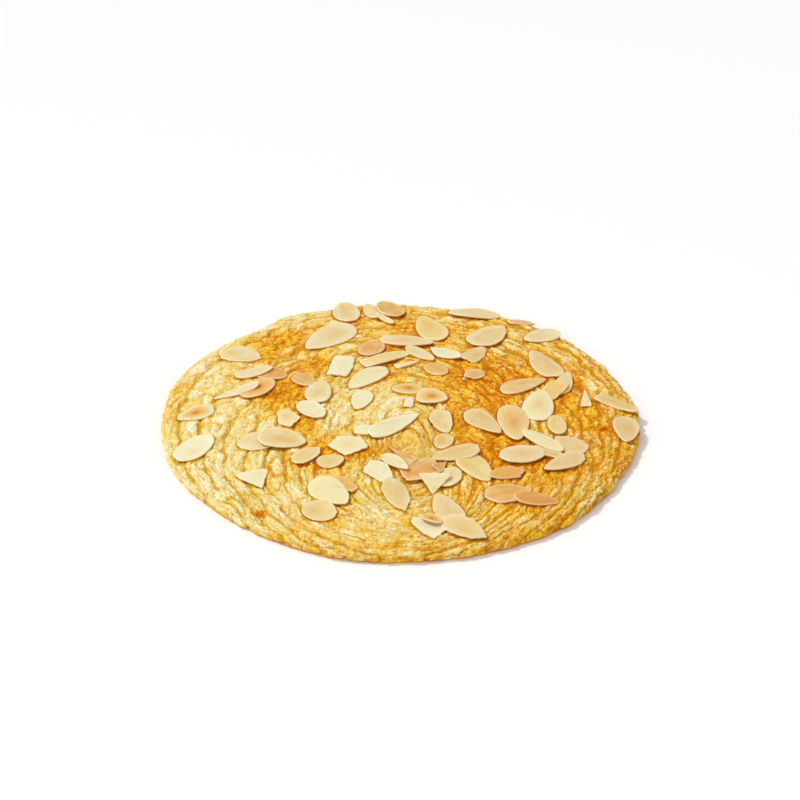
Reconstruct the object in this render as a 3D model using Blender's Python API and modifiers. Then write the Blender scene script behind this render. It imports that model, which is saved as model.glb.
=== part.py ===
"""An almond cookie: a wide, thin round of coiled flaky dough, baked with sliced almonds on top.

The dough is one turned disc whose top follows the rings of the rolled-out coil. The almond slices lie
where they fell, each on the dough or on the slices under it, and are fused to it, so that the cookie is one
solid. Lengths are in metres, +Z is up, and the origin is the middle of the flat underside.
"""

import math

import bmesh
import bpy
import numpy as np
from mathutils import Matrix, Vector, noise
from mathutils.bvhtree import BVHTree

MM = 0.001

# Outline of the dough, rolled out by hand. Each wave has its count round the rim, its height and the
# direction of a crest in degrees, anticlockwise from the right.
OUTLINE_RADIUS = 90.1 * MM
OUTLINE_WAVES = (
    (1, 0.9 * MM, 96),
    (2, 1.1 * MM, 100),
    (3, 0.6 * MM, 37),
    (4, 0.35 * MM, -5),
    (7, 0.5 * MM, 1),
)
RIM_WANDER = 0.5 * MM
RIM_WANDERS_PER_TURN = 3.5
CORNER_DIRECTION = math.radians(119)
CORNER_HEIGHT = 2.8 * MM
CORNER_HALF_ANGLE = math.radians(7)

# Thickness of the dough.
CENTRE_THICKNESS = 8.9 * MM
RIM_THICKNESS = 4.4 * MM
CROWN_POWER = 1.9
SWELL = 0.9 * MM
SWELL_LENGTH = 34 * MM

# The coil: rings of dough rope, flattened by the rolling pin. Its middle was pressed towards the front, where
# the rim cuts through the outer rings. The rings are squeezed from the sides, most of all round a place just
# behind their middle. Places and reaches are shares of the outline's radius.
COIL_TURNS = 16
COIL_DEPTH = 1.25 * MM
COIL_MIDDLE = Vector((4.0 * MM, -43.0 * MM)) / OUTLINE_RADIUS
RING_SQUEEZE = 0.45
RING_SQUEEZE_BEHIND = 0.3
MIDDLE_SQUEEZE = 2.2
MIDDLE_SQUEEZE_AT = Vector((4.0 * MM, -30.0 * MM)) / OUTLINE_RADIUS
MIDDLE_SQUEEZE_REACH = Vector((20.0 * MM, 30.0 * MM)) / OUTLINE_RADIUS
SQUEEZE_STEPS = 20
FRONT_CUT = 0.18
COIL_WANDER = 0.55
COIL_WANDER_LENGTH = 30 * MM
LUMP_HEIGHT = 0.35 * MM
LUMP_LENGTH = 7 * MM

# Facets of the dough's mesh. The rim is given as shares of the outline's radius and of the thickness.
STEPS_ROUND = 60
RIM_PROFILE = ((0.990, 0.86), (1.0, 0.5), (0.992, 0.15), (0.972, 0.0))
UNDERSIDE_SHARE = 0.55

# Almond slices.
SLICE_THICKNESS = 1.1 * MM
SLICE_SINK = 0.35 * MM
SLICE_CORNERS = 10
SUPPORT_RINGS = (0.45, 0.9)
MOST_TILT = 0.30
DROP_HEIGHT = 50 * MM

# How a slice of each kind is shaped: its narrowing towards the tip, how round the tip is (1 is fully round),
# and where it is broken off: each break has the direction that it faces in degrees from the tip, and its
# distance from the middle as a share of the half size.
SLICE_KINDS = {
    "tear": (0.18, 0.75, ()),
    "drop": (0.20, 0.88, ()),
    "oval": (0.05, 1.0, ()),
    "nicked": (0.12, 0.85, ((35, 0.80), (-28, 0.88))),
    "half": (0.10, 1.0, ((0, 0.30),)),
    "block": (0.0, 1.0, ((0, 0.62), (180, 0.55), (92, 0.75))),
    "chip": (0.0, 1.0, ((8, 0.78), (75, 0.72), (140, 0.84), (215, 0.74), (295, 0.70))),
    "shield": (0.05, 0.85, ((90, 0.80), (158, 0.62), (215, 0.72))),
    "wedge": (0.60, 0.75, ((180, 0.55),)),
}

# The slices, the lowest first: kind, place across and towards the back, length and width in millimetres,
# and the direction of the tip in degrees, anticlockwise from the right.
SLICES = (
    ("nicked", -62, 45, 18, 12, -25),
    ("drop", -28, 57.5, 26, 15, 230),
    ("drop", -22, 82.5, 21, 11, 98),
    ("drop", -11, 82, 15, 8, 112),
    ("oval", -4, 83, 17, 11, 108),
    ("oval", -6, 73.5, 11, 3, -50),
    ("oval", 2.5, 51.5, 21, 8, -8),
    ("drop", 12, 65.5, 24, 12, 105),
    ("oval", 30, 80.5, 21, 11, -8),
    ("oval", -11, 46, 13, 10, 65),
    ("drop", 8, 41, 16, 6, -50),
    ("shield", 18, 41.5, 14, 9, -36),
    ("wedge", 3, 33, 10, 4, 20),
    ("half", -5, 37.5, 21, 7, 208),
    ("oval", 14, 28.5, 11, 8, -52),
    ("half", 29, 42.5, 14, 8, 240),
    ("drop", 35, 59, 22, 13, 55),
    ("chip", 48.5, 74, 11, 7, 190),
    ("drop", 56, 61.5, 18, 11, 222),
    ("drop", 56, 36.5, 22, 11, 113),
    ("drop", 62.5, 21.5, 17, 7, 74),
    ("tear", 47, 19, 20, 9, 30),
    ("half", 57.5, 14, 15, 8, 60),
    ("drop", 52, 4, 22, 12, 80),
    ("tear", 31, -11, 19, 10, -52),
    ("drop", 42, -10, 24, 12, -87),
    ("oval", 58, -10, 13, 7, 92),
    ("wedge", 70, 11, 13, 4, 88),
    ("half", 82, 8, 17, 7, 148),
    ("drop", 83.5, -10, 18, 10, -95),
    ("nicked", 62, -23, 14, 10, 140),
    ("half", 54, -29, 12, 7, 145),
    ("oval", 52, -22, 19, 7, -42),
    ("oval", 44, -32, 17, 11, 15),
    ("drop", 59, -35.5, 18, 8, 216),
    ("shield", 38, -44.5, 14, 8, 196),
    ("nicked", 38, -56, 17, 11, 15),
    ("tear", 48, -59.5, 16, 7, -3),
    ("drop", 27, -41, 19, 11, -62),
    ("oval", 16, -24, 10, 7, 70),
    ("tear", 20, -32.5, 19, 10, 208),
    ("chip", 11, -45, 14, 9, -20),
    ("block", 7, -43, 14, 13, 22),
    ("wedge", 14.5, -42, 8, 5, 60),
    ("wedge", 0.5, -34, 14, 5, 128),
    ("tear", -1.5, -39.5, 14, 6, -50),
    ("chip", -8, -43.5, 14, 10, -62),
    ("nicked", -1, -58, 19, 9, -72),
    ("oval", 17.5, -47.5, 12, 8, 55),
    ("wedge", 12, -52, 10, 11, -95),
    ("chip", -20, -52, 12, 7, -45),
    ("oval", -28, -67, 13, 11, -40),
    ("drop", -24.5, -56.5, 19, 12, -52),
    ("drop", 16.5, -66, 18, 10, 114),
    ("nicked", 22, -77, 18, 10, -31),
    ("half", 9, -76, 13, 7, -42),
    ("oval", 11, -73.5, 8, 6, -35),
    ("oval", -25, -37, 10, 8, 20),
    ("nicked", -33.5, -33, 13, 8, 46),
    ("chip", -19, -27, 14, 13, 10),
    ("half", -13, -16.5, 8, 6, 10),
    ("tear", -2, -13, 24, 9, 41),
    ("shield", 15.5, -10.5, 17, 9, -82),
    ("drop", -14.5, 5.5, 14, 8, 258),
    ("oval", 3, 13, 12, 8, -10),
    ("drop", 12, 6, 12, 11, -6),
    ("drop", -12.4, 22.5, 21, 10, 230),
    ("block", -23, 32, 16, 10, 80),
    ("drop", -36, 20.5, 12, 8, -50),
    ("drop", -30.5, 11.5, 16, 10, 80),
    ("oval", -33, -1.5, 14, 9, -50),
    ("chip", -41.5, -7, 13, 9, 105),
    ("oval", -52, -22, 15, 12, 10),
    ("drop", -43, -22, 18, 13, -12),
    ("oval", -75, -24, 19, 12, 55),
    ("drop", -76.5, 0.5, 15, 9, 208),
    ("oval", -49.5, 27.5, 13, 9, -20),
    ("drop", -56, 29, 15, 8, 12),
    ("oval", -54, 16, 17, 11, 55),
    ("tear", -62, 14, 19, 6, 208),
    ("shield", 28.5, 25.5, 9, 8, 20),
    ("block", 3, 2, 5, 4, 80),
    ("wedge", -51, -47, 12, 12, -68),
)

DOUGH_COLOUR = (0.86, 0.62, 0.20, 1.0)
ALMOND_COLOUR = (0.90, 0.74, 0.48, 1.0)
BAKED_ROUGHNESS = 0.6
SMOOTH_ANGLE = math.radians(35)


def remove_scene_objects():
    for old in list(bpy.data.objects):
        bpy.data.objects.remove(old)


def baked_material(name, colour):
    material = bpy.data.materials.new(name)
    material.use_nodes = True
    surface = material.node_tree.nodes["Principled BSDF"]
    surface.inputs["Base Color"].default_value = colour
    surface.inputs["Roughness"].default_value = BAKED_ROUGHNESS
    surface.inputs["Metallic"].default_value = 0.0
    return material


def new_collection(name):
    collection = bpy.data.collections.new(name)
    bpy.context.scene.collection.children.link(collection)
    return collection


def evaluated_mesh(obj):
    """The object's mesh with its modifiers applied."""
    graph = bpy.context.evaluated_depsgraph_get()
    graph.update()
    return bpy.data.meshes.new_from_object(obj.evaluated_get(graph))


def outline_radius(angle):
    """Radius of the rolled-out dough in this direction."""
    waves = sum(
        height * math.cos(count * (angle - math.radians(crest))) for count, height, crest in OUTLINE_WAVES
    )
    place_round = Vector((math.cos(angle), math.sin(angle), 0.7)) * RIM_WANDERS_PER_TURN
    wander = RIM_WANDER * noise.noise(place_round)
    from_corner = math.remainder(angle - CORNER_DIRECTION, math.tau) / CORNER_HALF_ANGLE
    corner = CORNER_HEIGHT * math.exp(-from_corner * from_corner)
    return OUTLINE_RADIUS + waves + wander + corner


def ring_squeeze(plan):
    """How much the rings are squeezed from the sides at this place on a disc of radius 1."""
    inside = max(1 - plan.length_squared, 0.0)
    away = plan - MIDDLE_SQUEEZE_AT
    away = Vector((away.x / MIDDLE_SQUEEZE_REACH.x, away.y / MIDDLE_SQUEEZE_REACH.y))
    squeeze = RING_SQUEEZE + RING_SQUEEZE_BEHIND * (plan.y - COIL_MIDDLE.y)
    return inside * inside * (squeeze + MIDDLE_SQUEEZE * math.exp(-away.length_squared))


def ring_point(share, angle):
    """The point at this angle of the squeezed ring of this share, on a disc of radius 1."""
    round_ring = COIL_MIDDLE * (1 - share) + share * Vector((math.cos(angle), math.sin(angle)))
    plan = round_ring.copy()
    for _ in range(SQUEEZE_STEPS):
        plan.x = COIL_MIDDLE.x + (round_ring.x - COIL_MIDDLE.x) / (1 + ring_squeeze(plan))
    return plan


def ring_share(plan):
    """Size of the coil's ring through a place on a disc of radius 1, where the rim cuts the front ones."""
    from_middle = plan - COIL_MIDDLE
    from_middle.x *= 1 + ring_squeeze(plan)
    from_middle.y += FRONT_CUT * (min(plan.y, 0.0) ** 2 - COIL_MIDDLE.y**2)
    middle = COIL_MIDDLE + Vector((0.0, FRONT_CUT * COIL_MIDDLE.y**2))
    lean = from_middle.dot(middle)
    spare = 1 - middle.length_squared
    return (lean + math.sqrt(lean * lean + spare * from_middle.length_squared)) / spare


def rolled_out(plan):
    """Where a point on a disc of radius 1 lies on the dough."""
    return plan * outline_radius(math.atan2(plan.y, plan.x))


def coil_wander(point, share):
    """How far the coil's rings stray here, in turns. They lie true at the middle and at the rim."""
    at = Vector((point.x, point.y, 0.0)) / COIL_WANDER_LENGTH
    return COIL_WANDER * noise.noise(at) * math.sin(math.pi * share)


def thickness(reach, point, crest):
    """Height of the dough's top above its underside, where crest is 0 in a groove and 1 on a ring."""
    crown = RIM_THICKNESS + (CENTRE_THICKNESS - RIM_THICKNESS) * (1 - reach**CROWN_POWER)
    at = Vector((point.x, point.y, 0.0))
    swell = SWELL * noise.noise(at / SWELL_LENGTH) * (1 - reach**3)
    lump = LUMP_HEIGHT * noise.noise(at / LUMP_LENGTH)
    return crown + swell + lump + COIL_DEPTH * (crest - 0.6)


def turned_disc(profile):
    """A disc of radius 1 turned from a profile that runs from the top's middle down to the underside's."""
    mesh = bpy.data.meshes.new("dough_profile")
    points = [(share, 0.0, up) for share, up in profile]
    mesh.from_pydata(points, [(i, i + 1) for i in range(len(points) - 1)], [])
    disc = bpy.data.objects.new("dough_profile", mesh)
    bpy.context.scene.collection.objects.link(disc)
    turn = disc.modifiers.new("turn", "SCREW")
    turn.steps = STEPS_ROUND
    turn.render_steps = STEPS_ROUND
    turn.use_merge_vertices = True
    turn.merge_threshold = 0.0001
    turned = evaluated_mesh(disc)
    bpy.data.objects.remove(disc)
    return turned


def build_dough():
    """The dough: a turned disc whose top follows the coil's rings and the grooves between."""
    half_turns = 2 * COIL_TURNS
    rings = [(ring / half_turns, 1.0) for ring in range(half_turns)]
    profile = [*rings, *RIM_PROFILE, (UNDERSIDE_SHARE, 0.0), (0.0, 0.0)]
    mesh = turned_disc(profile)
    for vertex in mesh.vertices:
        share, up = math.hypot(vertex.co.x, vertex.co.y), vertex.co.z
        angle = math.atan2(vertex.co.y, vertex.co.x)
        crest = 0.5
        plan = ring_point(share, angle)
        if up == 1.0:
            stray = coil_wander(rolled_out(plan), share)
            plan = ring_point(max(share - stray / COIL_TURNS, 0.3 * share), angle)
            crest -= 0.5 * math.cos(math.tau * (COIL_TURNS * ring_share(plan) + stray))
        point = rolled_out(plan)
        vertex.co = (point.x, point.y, up * thickness(plan.length, point, crest))
    dough = bpy.data.objects.new("cookie", mesh)
    dough.data.materials.append(baked_material("baked_dough", DOUGH_COLOUR))
    return dough


def slice_outline(kind):
    """Corners of a slice with half length and half width 1, its tip at +X."""
    taper, roundness, breaks = SLICE_KINDS[kind]
    corners = []
    for corner in range(SLICE_CORNERS):
        angle = math.tau * corner / SLICE_CORNERS
        along = 1 - 2 * ((1 - math.cos(angle)) / 2) ** roundness
        edge = Vector((along, math.sin(angle) * (1 - taper * math.cos(angle))))
        for direction, distance in breaks:
            facing = Vector((math.cos(math.radians(direction)), math.sin(math.radians(direction))))
            edge *= min(1.0, distance / max(edge.dot(facing), distance))
        corners.append(edge)
    low, high = min(c.x for c in corners), max(c.x for c in corners)
    half_width = max(abs(c.y) for c in corners)
    return [Vector((2 * (c.x - low) / (high - low) - 1, c.y / half_width)) for c in corners]


class AlmondSlice:
    """One slice lying on what is under it: its outline, its place and the plane of its underside."""

    def __init__(self, kind, across, back, length, width, turn):
        self.middle = Vector((across, back)) * MM
        self.half = Vector((length, width)) * MM / 2
        self.turn = math.radians(turn)
        self.outline = slice_outline(kind)
        self.normal = Vector((0.0, 0.0, 1.0))
        self.base = 0.0

    def spot(self, along, across):
        """The point at these shares of the half length and half width, seen from above."""
        offset = Vector((along * self.half.x, across * self.half.y))
        offset.rotate(Matrix.Rotation(self.turn, 2))
        return self.middle + offset

    def top_at(self, point):
        """Height of the slice's upper face over a point, or None outside its outline."""
        offset = point - self.middle
        offset.rotate(Matrix.Rotation(-self.turn, 2))
        if (offset.x / self.half.x) ** 2 + (offset.y / self.half.y) ** 2 > 1:
            return None
        away = point - self.middle
        slope = -(self.normal.x * away.x + self.normal.y * away.y) / self.normal.z
        return self.base + slope + SLICE_THICKNESS

    def lie_on(self, surface, others):
        """Rests the slice on the dough and on the slices already there."""
        spots = [self.spot(0.0, 0.0)]
        for ring in SUPPORT_RINGS:
            spots += [self.spot(c.x * ring, c.y * ring) for c in self.outline]
        heights = []
        for spot in spots:
            above = Vector((spot.x, spot.y, DROP_HEIGHT))
            hit = surface.ray_cast(above, Vector((0.0, 0.0, -1.0)))[0]
            found = [hit.z] if hit else []
            found += [top for top in (other.top_at(spot) for other in others) if top is not None]
            if found:
                heights.append((spot - self.middle, max(found)))
        rows = np.array([(1.0, away.x, away.y) for away, _ in heights])
        tops = np.array([top for _, top in heights])
        level, slope_x, slope_y = np.linalg.lstsq(rows, tops, rcond=None)[0]
        steepness = max(math.hypot(slope_x, slope_y) / MOST_TILT, 1.0)
        slope = Vector((slope_x, slope_y)) / steepness
        clear = max(top - level - slope.dot(away) for away, top in heights)
        self.normal = Vector((-slope.x, -slope.y, 1.0)).normalized()
        self.base = level + clear - SLICE_SINK

    def mesh_object(self, number):
        """The slice as a thin plate with straight facets."""
        shape = bmesh.new()
        bmesh.ops.create_circle(shape, segments=SLICE_CORNERS, radius=1.0, cap_ends=True)
        shape.verts.ensure_lookup_table()
        for vertex, corner in zip(shape.verts, self.outline):
            vertex.co = (corner.x * self.half.x, corner.y * self.half.y, 0.0)
        raised = bmesh.ops.extrude_face_region(shape, geom=shape.faces[:])
        upper = [item for item in raised["geom"] if isinstance(item, bmesh.types.BMVert)]
        bmesh.ops.translate(shape, verts=upper, vec=(0.0, 0.0, SLICE_THICKNESS))
        tilt = Vector((0.0, 0.0, 1.0)).rotation_difference(self.normal).to_matrix().to_4x4()
        lie = Matrix.Translation((self.middle.x, self.middle.y, self.base)) @ tilt
        bmesh.ops.transform(shape, matrix=lie @ Matrix.Rotation(self.turn, 4, "Z"), verts=shape.verts)
        bmesh.ops.recalc_face_normals(shape, faces=shape.faces)
        mesh = bpy.data.meshes.new(f"almond_slice_{number:02d}")
        shape.to_mesh(mesh)
        shape.free()
        return bpy.data.objects.new(mesh.name, mesh)


def lay_slices(dough, collection):
    """Lays every slice in turn, so that a later one lies on the earlier ones that it crosses."""
    almond = baked_material("sliced_almond", ALMOND_COLOUR)
    shape = bmesh.new()
    shape.from_mesh(dough.data)
    surface = BVHTree.FromBMesh(shape)
    shape.free()
    laid = []
    for number, row in enumerate(SLICES):
        almond_slice = AlmondSlice(*row)
        almond_slice.lie_on(surface, laid)
        laid.append(almond_slice)
        piece = almond_slice.mesh_object(number)
        piece.data.materials.append(almond)
        collection.objects.link(piece)


def fuse(dough, collection):
    """Joins the slices to the dough, then drops the collection's objects."""
    union = dough.modifiers.new("fused_slices", "BOOLEAN")
    union.operation = "UNION"
    union.operand_type = "COLLECTION"
    union.collection = collection
    union.solver = "EXACT"
    union.material_mode = "TRANSFER"
    fused = evaluated_mesh(dough)
    dough.modifiers.clear()
    dough.data = fused
    for piece in list(collection.objects):
        bpy.data.objects.remove(piece)
    bpy.data.collections.remove(collection)


def keep_largest_shell(dough):
    """Fills what fusing sealed under a slice, and drops loose scraps: only the outer surface stays."""
    shape = bmesh.new()
    shape.from_mesh(dough.data)
    waiting, shells = set(shape.verts), []
    while waiting:
        shell, edge_of_search = set(), [waiting.pop()]
        while edge_of_search:
            vertex = edge_of_search.pop()
            shell.add(vertex)
            near = {edge.other_vert(vertex) for edge in vertex.link_edges} & waiting
            waiting -= near
            edge_of_search += near
        shells.append(shell)
    largest = max(shells, key=len)
    spare = [vertex for vertex in shape.verts if vertex not in largest]
    bmesh.ops.delete(shape, geom=spare, context="VERTS")
    shape.to_mesh(dough.data)
    shape.free()


def build_cookie():
    remove_scene_objects()
    model = new_collection("almond_cookie")
    dough = build_dough()
    model.objects.link(dough)
    slices = new_collection("almond_slices")
    lay_slices(dough, slices)
    fuse(dough, slices)
    keep_largest_shell(dough)
    dough.data.shade_smooth()
    dough.data.set_sharp_from_angle(angle=SMOOTH_ANGLE)


build_cookie()
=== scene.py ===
"""Looks of an almond cookie: a wide, thin round of coiled flaky dough, baked golden under sliced almonds.

Metres, +Z up. The cookie's underside lies at the origin, and its front is towards -Y.
"""

import math
import random

import bmesh
import bpy
import numpy as np
from mathutils import Matrix, Vector, noise
from mathutils.bvhtree import BVHTree


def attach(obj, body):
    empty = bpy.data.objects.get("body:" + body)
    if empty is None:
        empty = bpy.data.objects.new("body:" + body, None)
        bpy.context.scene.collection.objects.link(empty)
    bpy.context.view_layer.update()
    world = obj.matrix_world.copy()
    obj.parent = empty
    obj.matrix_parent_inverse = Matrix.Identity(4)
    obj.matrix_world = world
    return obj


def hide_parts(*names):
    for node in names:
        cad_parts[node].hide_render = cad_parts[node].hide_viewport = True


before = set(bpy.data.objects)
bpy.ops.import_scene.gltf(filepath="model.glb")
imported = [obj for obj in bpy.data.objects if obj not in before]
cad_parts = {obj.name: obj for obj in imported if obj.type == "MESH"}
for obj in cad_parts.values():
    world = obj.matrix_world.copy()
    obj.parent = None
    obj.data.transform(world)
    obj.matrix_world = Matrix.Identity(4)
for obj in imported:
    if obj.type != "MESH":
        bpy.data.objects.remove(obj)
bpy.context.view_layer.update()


# The dough. A rope of flaky dough is coiled flat, rolled out to a thin round and baked. The rings of the coil
# stay as soft ropes with grooves between, drawn into strands under a knobbly, pitted crust. It is one closed
# piece, on the outline, rings and thickness that the solid has.

MM = 0.001

# The outline: a circle with waves, each with its count round the rim, its height and the direction of its
# crest in degrees, and with a slight wander and one small corner.
OUTLINE_RADIUS = 90.1 * MM
OUTLINE_WAVES = (
    (1, 0.9 * MM, 96),
    (2, 1.1 * MM, 100),
    (3, 0.6 * MM, 37),
    (4, 0.35 * MM, -5),
    (7, 0.5 * MM, 1),
)
RIM_WANDER = 0.5 * MM
RIM_WANDERS_PER_TURN = 3.5
RIM_WANDER_LAYER = 0.7
CORNER_DIRECTION = math.radians(119)
CORNER_HEIGHT = 2.8 * MM
CORNER_HALF_ANGLE = math.radians(7)

# The thickness without the ropes: crowned in the middle, with broad swells and small lumps.
CENTRE_THICKNESS = 8.9 * MM
RIM_THICKNESS = 4.4 * MM
CROWN_POWER = 1.9
SWELL = 0.9 * MM
SWELL_LENGTH = 34 * MM
LUMP_HEIGHT = 0.35 * MM
LUMP_LENGTH = 7 * MM

# The coil. Its middle, its squeeze from the sides and the reach of that squeeze are shares of the outline.
COIL_TURNS = 16
COIL_PITCH = OUTLINE_RADIUS / COIL_TURNS
COIL_DEPTH = 1.25 * MM
COIL_MIDDLE = Vector((4.0 * MM, -43.0 * MM)) / OUTLINE_RADIUS
RING_SQUEEZE = 0.45
RING_SQUEEZE_BEHIND = 0.3
MIDDLE_SQUEEZE = 2.2
MIDDLE_SQUEEZE_AT = Vector((4.0 * MM, -30.0 * MM)) / OUTLINE_RADIUS
MIDDLE_SQUEEZE_REACH = Vector((20.0 * MM, 30.0 * MM)) / OUTLINE_RADIUS
FRONT_CUT = 0.18

# How far the rings stray, as a share of their distance from each other, and over what length.
COIL_WANDER = 0.55
COIL_WANDER_LENGTH = 30 * MM
RING_WAVES = ((0.25, 9 * MM), (0.1, 4 * MM))

# The fine relief on the ropes. The rolling split many of them lengthwise in two, and drew them all into short
# strands and fibres. The baking raised knobs and beads on them, with pits between. The rings inside the sixth
# are softer and more split.
FIRM_FROM = 6
FIRM_LENGTH = 17 * MM
FIRM_LAYER = 5.0
SPLIT_LENGTH = 13 * MM
SPLIT_WANDER = 0.7
SPLIT_WANDER_LENGTH = 11 * MM
SPLIT_WANDER_LAYER = 7.0
SPLIT_DEPTH = 0.7 * MM
STRAND_DEPTH = 0.55 * MM
STRAND_WIDTH = 3.0 * MM
STRAND_LENGTH = 10 * MM
FIBRE_DEPTH = 0.18 * MM
FIBRE_WIDTH = 1.7 * MM
FIBRE_LENGTH = 5 * MM
KNOB_DEPTH = 0.62 * MM
KNOB_WIDTH = 3.2 * MM
KNOB_LENGTH = 3.0 * MM
KNOB_LAYER = 0.5
BEAD_DEPTH = 0.30 * MM
BEAD_WIDTH = 1.8 * MM
BEAD_LENGTH = 1.6 * MM
CRINKLE_DEPTH = 0.45 * MM
CRINKLE_LENGTH = 3.2 * MM

# Holes in the crust: place across and towards the back, reach and depth, all in millimetres.
HOLES = ((76, -10, 1.1, 1.3), (-49, -66.5, 1.8, 0.35))

# Where the rolling pin pressed the ropes nearly flat: place across and towards the back, reach across and
# back, all in millimetres, turn in degrees, and how strongly.
PRESSED = (
    (-8, 8, 22, 17, 0, 0.85),
    (-5, 74, 60, 26, 0, 0.3),
    (-5, -76, 26, 13, 0, 0.65),
    (-66, 30, 16, 20, 0, 0.5),
    (4, -29, 12, 9, 0, 0.95),
    (2, -57, 24, 13, 0, 0.4),
)

# Where the ropes stayed smooth, with hardly a knob on them, given in the same way.
SMOOTH = (
    (-57, -38, 20, 34, 22, 0.9),
    (42, -68, 26, 13, 40, 0.9),
    (72, -52, 12, 10, 50, 0.7),
    (62, 48, 12, 24, 25, 0.6),
    (6, -16, 20, 12, 0, 0.6),
)

# The mesh: the cells across the top and the underside, how far out they reach as shares of the outline, where
# the top starts to round off and what share of the thickness it has left at its edge.
TOP_CELLS = 290
UNDER_CELLS = 48
TOP_REACH = 0.990
UNDER_REACH = 0.96
ROUNDING_START = 0.93
ROUNDING_POWER = 2.2
TOP_SHARE = 0.80

# The rows of the rounded rim below that edge: how far out, and how high as a share of the thickness.
RIM_ROWS = (
    (0.9940, 0.75),
    (0.9975, 0.67),
    (0.9995, 0.58),
    (1.0005, 0.48),
    (1.0005, 0.38),
    (0.9990, 0.28),
    (0.9965, 0.18),
    (0.9925, 0.09),
    (0.9860, 0.03),
    (0.9780, 0.0),
)

# Where the dough comes near the rim and where its side starts, and how soon, as shares of the outline.
NEAR_RIM_START = 0.90
NEAR_RIM_WIDTH = 0.08
SIDE_START = 0.975
SIDE_WIDTH = 0.02

# The underside's shallow pits and the faint rings left on it.
UNDER_PITS = 0.12 * MM
UNDER_PITS_LENGTH = 6 * MM
UNDER_GROOVE = 0.25 * MM


def clamp(value, low=0.0, high=1.0):
    """The value, kept between low and high."""
    return min(max(value, low), high)


def wander(at, length, layer=0.0):
    """A number round 0 that changes softly over this length. Each layer of it changes in its own way."""
    return noise.noise(at / length + Vector((0.0, 0.0, layer)))


def outline_radius(angle):
    """Radius of the rolled-out dough in this direction."""
    waves = sum(
        height * math.cos(count * (angle - math.radians(crest))) for count, height, crest in OUTLINE_WAVES
    )
    place_round = Vector((math.cos(angle), math.sin(angle), RIM_WANDER_LAYER)) * RIM_WANDERS_PER_TURN
    stray = RIM_WANDER * noise.noise(place_round)
    from_corner = math.remainder(angle - CORNER_DIRECTION, math.tau) / CORNER_HALF_ANGLE
    corner = CORNER_HEIGHT * math.exp(-from_corner * from_corner)
    return OUTLINE_RADIUS + waves + stray + corner


def ring_share(reach, angle):
    """Size of the coil's ring through a point, as a share of the outline.

    The rings crowd at the front, round the coil's middle, where the rim cuts through the outer ones. They
    are squeezed from the sides inside the rim, most of all round their middle.
    """
    plan = reach * Vector((math.cos(angle), math.sin(angle)))
    inside = max(1 - plan.length_squared, 0.0)
    away = plan - MIDDLE_SQUEEZE_AT
    away = Vector((away.x / MIDDLE_SQUEEZE_REACH.x, away.y / MIDDLE_SQUEEZE_REACH.y))
    squeeze = RING_SQUEEZE + RING_SQUEEZE_BEHIND * (plan.y - COIL_MIDDLE.y)
    squeeze += MIDDLE_SQUEEZE * math.exp(-away.length_squared)
    from_middle = plan - COIL_MIDDLE
    from_middle.x *= 1 + inside * inside * squeeze
    from_middle.y += FRONT_CUT * (min(plan.y, 0.0) ** 2 - COIL_MIDDLE.y**2)
    middle = COIL_MIDDLE + Vector((0.0, FRONT_CUT * COIL_MIDDLE.y**2))
    lean = from_middle.dot(middle)
    spare = 1 - middle.length_squared
    return (lean + math.sqrt(lean * lean + spare * from_middle.length_squared)) / spare


def coil_phase(reach, angle, at):
    """How many rings out a point lies. Whole numbers are the grooves between the coil's ropes."""
    share = ring_share(reach, angle)
    stray = COIL_WANDER * wander(at, COIL_WANDER_LENGTH) * math.sin(math.pi * min(share, 1.0))
    phase = COIL_TURNS * share + stray
    for height, length in RING_WAVES:
        phase += height * wander(at, length)
    return phase


def smooth_thickness(reach, at):
    """Thickness of the dough without its ropes."""
    crown = RIM_THICKNESS + (CENTRE_THICKNESS - RIM_THICKNESS) * (1 - reach**CROWN_POWER)
    swell = SWELL * wander(at, SWELL_LENGTH) * (1 - reach**3)
    return crown + swell + LUMP_HEIGHT * wander(at, LUMP_LENGTH)


def along_ropes(at, phase, length, width):
    """A place in a space where the ropes run straight: noise there comes out long along the ropes."""
    return Vector((at.x / length, at.y / length, phase * COIL_PITCH / width))


def groove_line(phase, sharpness):
    """Rounded cross-section of the ropes: 1 on their backs, falling steeply to 0 in the grooves between."""
    across = abs(2 * (phase % 1.0) - 1)
    return (1 - across**sharpness) ** 0.7


def crust_cell(place, seam_width):
    """The cell of crust round a place: how far its middle and its seams are from there, and its own tone."""
    near, middles = noise.voronoi(place)
    return near[0], min((near[1] - near[0]) / seam_width, 1.0), noise.cell(middles[0])


def rounded(away):
    """Height of a knob or bead at this distance from its middle: 1 there, falling to 0."""
    return 1 - min(away / 0.8, 1.0) ** 2


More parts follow.
